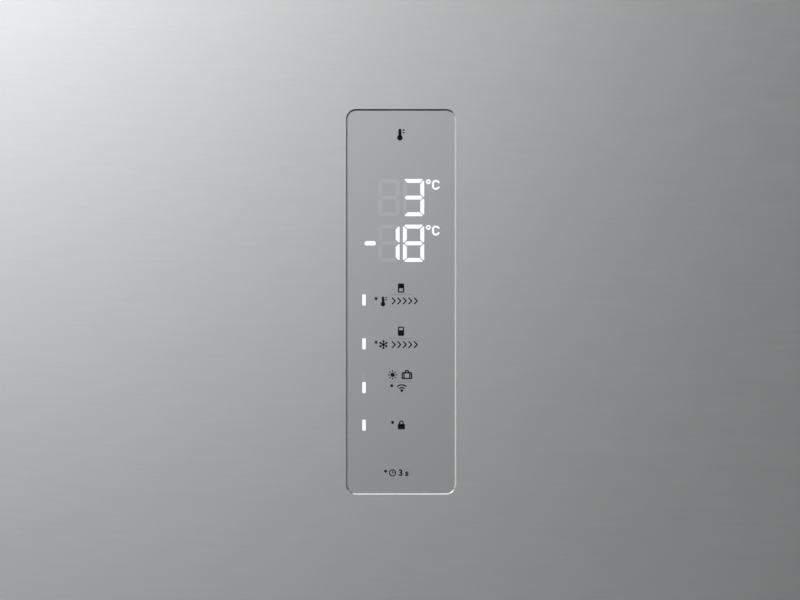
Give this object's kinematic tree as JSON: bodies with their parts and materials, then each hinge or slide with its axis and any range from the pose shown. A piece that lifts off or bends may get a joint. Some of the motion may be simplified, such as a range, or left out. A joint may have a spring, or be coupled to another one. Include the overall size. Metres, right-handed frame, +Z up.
{
  "type": "fridge freezer",
  "caption": "Tall free-standing fridge freezer with a hinged brushed-steel fridge door, an upright touch panel with a temperature display in it, and pull-out freezer drawers below.",
  "frame": {"origin": "on the floor, under the middle of the overall box", "axes": "+Z up, -Y out of the door front, +X to the right as seen from the front"},
  "size_m": [0.595, 0.66, 1.9],
  "materials": {
    "brushed_steel": "satin",
    "painted_steel": "satin",
    "zinc_steel": "satin",
    "insulation_foam": "matte",
    "white_liner": "gloss",
    "clear_plastic": "gloss",
    "shelf_glass": "polished",
    "grey_trim": "satin",
    "dark_plastic": "matte",
    "grey_gasket": "matte",
    "display_film": "satin",
    "circuit_board": "satin",
    "black_enamel": "gloss",
    "copper_coil": "satin",
    "aluminium_coil": "satin",
    "lamp_diffuser": "satin"
  },
  "bodies": {
    "cabinet": {"air_duct": "white_liner", "back_panel": "zinc_steel", "base_pan": "zinc_steel", "cabinet_foam": "insulation_foam", "compressor": "black_enamel", "condenser": "copper_coil", "control_box": "dark_plastic", "cord_gland": "grey_gasket", "drain_pan": "dark_plastic", "evaporator": "aluminium_coil", "evaporator_cover": "white_liner", "fan_motors": "black_enamel", "freezer_liner": "white_liner", "fridge_liner": "white_liner", "front_bars": "painted_steel", "glass_shelves": "shelf_glass", "hinge_cover": "dark_plastic", "hinge_screws": "zinc_steel", "lamp_lens": "lamp_diffuser", "lower_hinge": "zinc_steel", "machine_cover": "zinc_steel", "outer_rails": "zinc_steel", "plinth": "dark_plastic", "shelf_trims": "grey_trim", "side_panels": "painted_steel", "top_panel": "painted_steel", "upper_hinge": "zinc_steel"},
    "fridge_door": {"door_skin": "brushed_steel", "door_foam": "insulation_foam", "door_inner_panel": "white_liner", "door_top_cap": "dark_plastic", "door_bottom_cap": "dark_plastic", "door_gasket": "grey_gasket", "door_shelves": "clear_plastic", "display_cover": "display_film", "display_board": "circuit_board"},
    "upper_drawer": {"upper_drawer_skin": "brushed_steel", "upper_drawer_foam": "insulation_foam", "upper_drawer_inner_panel": "white_liner", "upper_drawer_grip": "dark_plastic", "upper_drawer_gasket": "grey_gasket", "upper_drawer_basket": "clear_plastic", "upper_drawer_inner_rails": "zinc_steel"},
    "lower_drawer": {"lower_drawer_skin": "brushed_steel", "lower_drawer_foam": "insulation_foam", "lower_drawer_inner_panel": "white_liner", "lower_drawer_grip": "dark_plastic", "lower_drawer_gasket": "grey_gasket", "lower_drawer_basket": "clear_plastic", "lower_drawer_inner_rails": "zinc_steel"},
    "upper_middle_rails": {"upper_drawer_middle_rails": "zinc_steel"},
    "lower_middle_rails": {"lower_drawer_middle_rails": "zinc_steel"},
    "crisper": {"crisper": "clear_plastic"},
    "damper": {"damper_flap": "white_liner"},
    "evaporator_fan": {"evaporator_fan": "dark_plastic"},
    "condenser_fan": {"condenser_fan": "dark_plastic"},
    "right_roller": {"roller_right": "dark_plastic"},
    "left_roller": {"roller_left": "dark_plastic"},
    "right_foot": {"foot_right": "dark_plastic"},
    "left_foot": {"foot_left": "dark_plastic"}
  },
  "joints": [
    {"name": "fridge_door_hinge", "type": "hinge", "parent": "cabinet", "child": "fridge_door", "pos_m": [0.2755, -0.306, 1.278], "axis": [0, 0, 1], "range_deg": [0, 115]},
    {"name": "upper_drawer_slide", "type": "slide", "parent": "cabinet", "child": "upper_drawer", "axis": [0, -1, 0], "range_m": [0, 0.29]},
    {"name": "upper_middle_rail_slide", "type": "slide", "parent": "cabinet", "child": "upper_middle_rails", "axis": [0, -1, 0], "range_m": [0, 0.145]},
    {"name": "lower_drawer_slide", "type": "slide", "parent": "cabinet", "child": "lower_drawer", "axis": [0, -1, 0], "range_m": [0, 0.29]},
    {"name": "lower_middle_rail_slide", "type": "slide", "parent": "cabinet", "child": "lower_middle_rails", "axis": [0, -1, 0], "range_m": [0, 0.145]},
    {"name": "crisper_slide", "type": "slide", "parent": "cabinet", "child": "crisper", "axis": [0, -1, 0], "range_m": [0, 0.1]},
    {"name": "damper_tilt", "type": "hinge", "parent": "cabinet", "child": "damper", "pos_m": [0, 0.267, 0.78], "axis": [-1, 0, 0], "range_deg": [0, 80]},
    {"name": "evaporator_fan_spin", "type": "hinge", "parent": "cabinet", "child": "evaporator_fan", "pos_m": [0, 0.193, 0.562], "axis": [0, 1, 0], "continuous": true},
    {"name": "condenser_fan_spin", "type": "hinge", "parent": "cabinet", "child": "condenser_fan", "pos_m": [-0.1617, 0.2229, 0.0965], "axis": [1, 0, 0], "continuous": true},
    {"name": "right_roller_spin", "type": "hinge", "parent": "cabinet", "child": "right_roller", "pos_m": [0.2375, 0.29, 0.013], "axis": [1, 0, 0], "continuous": true},
    {"name": "left_roller_spin", "type": "hinge", "parent": "cabinet", "child": "left_roller", "pos_m": [-0.2375, 0.29, 0.013], "axis": [1, 0, 0], "continuous": true},
    {"name": "right_foot_height", "type": "slide", "parent": "cabinet", "child": "right_foot", "axis": [0, 0, -1], "range_m": [0, 0.015]},
    {"name": "left_foot_height", "type": "slide", "parent": "cabinet", "child": "left_foot", "axis": [0, 0, -1], "range_m": [0, 0.015]}
  ],
  "couplings": [
    {"joint": "upper_middle_rail_slide", "follows": "upper_drawer_slide", "ratio": 0.5},
    {"joint": "lower_middle_rail_slide", "follows": "lower_drawer_slide", "ratio": 0.5}
  ]
}
